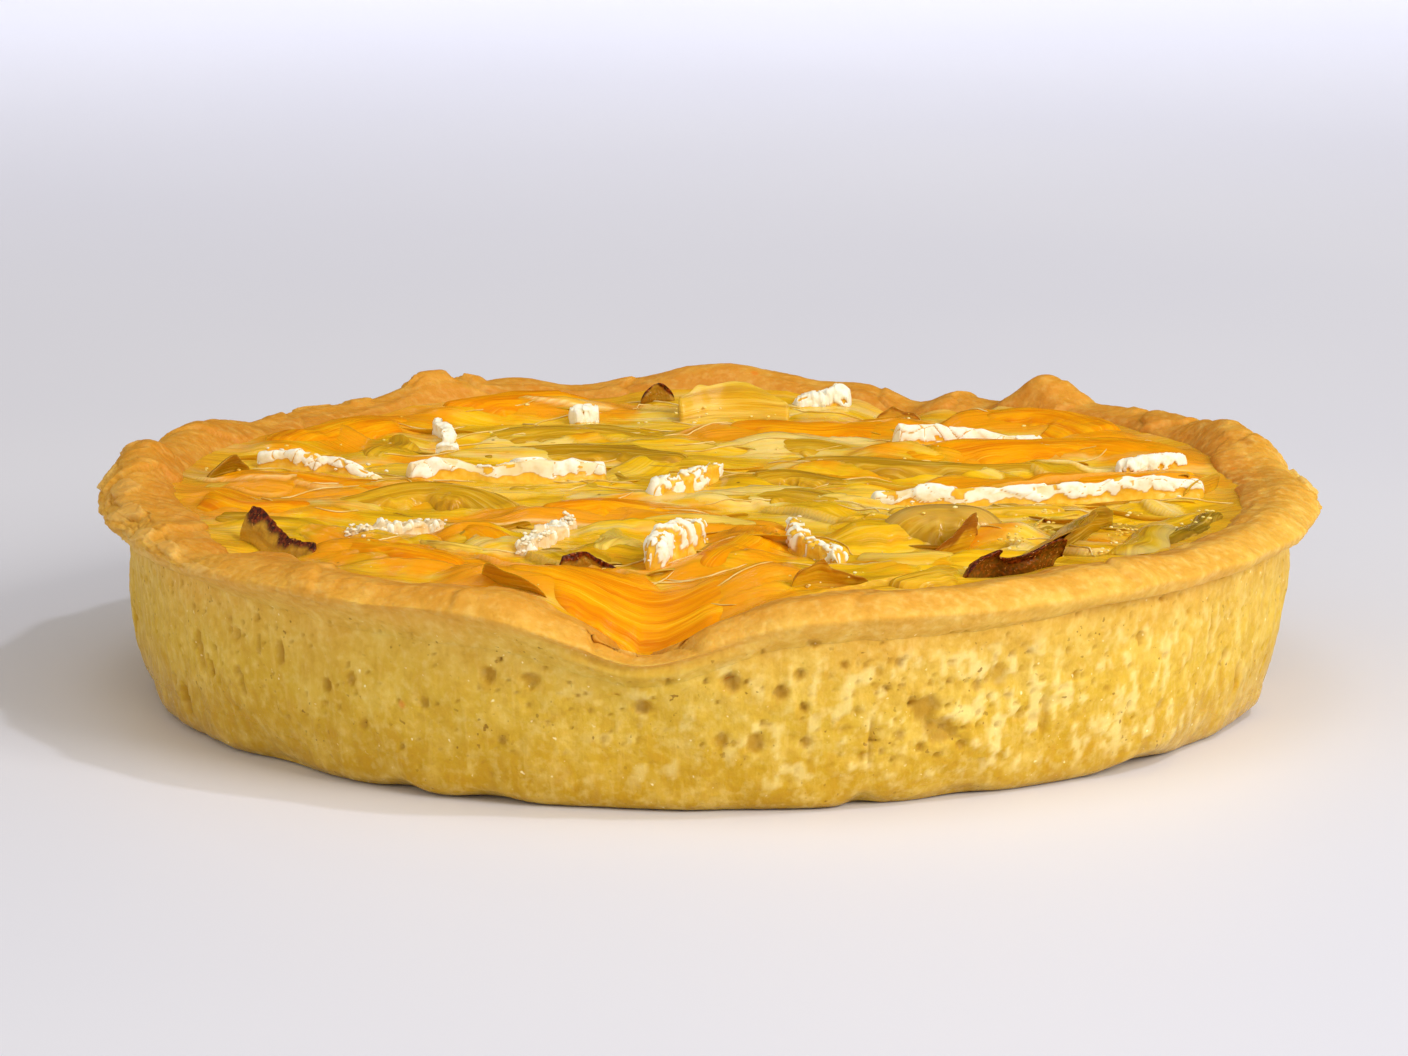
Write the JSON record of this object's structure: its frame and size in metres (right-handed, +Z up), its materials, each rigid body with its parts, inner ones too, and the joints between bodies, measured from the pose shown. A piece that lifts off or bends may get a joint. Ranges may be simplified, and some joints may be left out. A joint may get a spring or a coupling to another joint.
{
  "type": "savoury tart",
  "caption": "Deep round savoury tart: a pastry shell filled with baked custard, topped with pumpkin slices, leek layers and white-rind cheese.",
  "frame": {"origin": "middle of the flat underside of the pastry shell", "axes": "+Z up, -Y towards the front of the picture, +X to its right"},
  "size_m": [0.1994, 0.1963, 0.0385],
  "materials": {
    "pastry": "matt baked",
    "custard": "moist",
    "pumpkin": "moist",
    "cheese": "satin",
    "leek": "moist",
    "leek_browned": "glazed"
  },
  "bodies": {
    "root": {"cheese_left": "cheese", "cheese_long": "cheese", "cheese_mid_left": "cheese", "cheese_right_back": "cheese", "custard_filling": "custard", "leek_brown_back": "leek", "leek_brown_back_left": "leek_browned", "leek_brown_edge_left": "leek_browned", "leek_brown_tip": "leek_browned", "leek_bulb": "leek", "leek_burnt_curl": "leek_browned", "leek_fold_back_right": "leek", "leek_fold_left": "leek", "leek_fold_right": "leek", "leek_green_edge": "leek", "leek_hood_front": "leek", "leek_olive_point": "leek", "leek_ribbon_back": "leek", "leek_ribbon_back_right": "leek", "leek_ribbon_centre": "leek", "leek_ribbon_left": "leek", "leek_ribbon_left_back": "leek", "leek_ribbon_low": "leek", "leek_ribbon_low_middle": "leek", "leek_ribbon_middle": "leek", "leek_ribbon_near_middle": "leek", "leek_ribbon_right": "leek", "leek_ribbon_right_low": "leek", "leek_round_centre": "leek", "leek_sheet_right": "leek", "leek_standing_sheet": "leek", "leek_strands_front": "leek", "pastry_shell": "pastry", "pumpkin_back_left": "pumpkin", "pumpkin_back_middle": "pumpkin", "pumpkin_back_rim": "pumpkin", "pumpkin_beside_cheese": "pumpkin", "pumpkin_front": "pumpkin", "pumpkin_front_left": "pumpkin", "pumpkin_left_edge": "pumpkin", "pumpkin_left_upper": "pumpkin", "pumpkin_middle": "pumpkin", "pumpkin_right_back": "pumpkin", "pumpkin_right_edge": "pumpkin", "pumpkin_right_rim": "pumpkin", "pumpkin_small": "pumpkin", "rind_curved": "cheese", "rind_flake_back": "cheese", "rind_flake_left": "cheese", "rind_flake_low": "cheese", "rind_flake_right": "cheese", "rind_flake_square": "cheese", "rind_lace_flat": "cheese", "rind_lace_slant": "cheese", "rind_leaf": "cheese", "rind_striped": "cheese"}
  },
  "joints": []
}
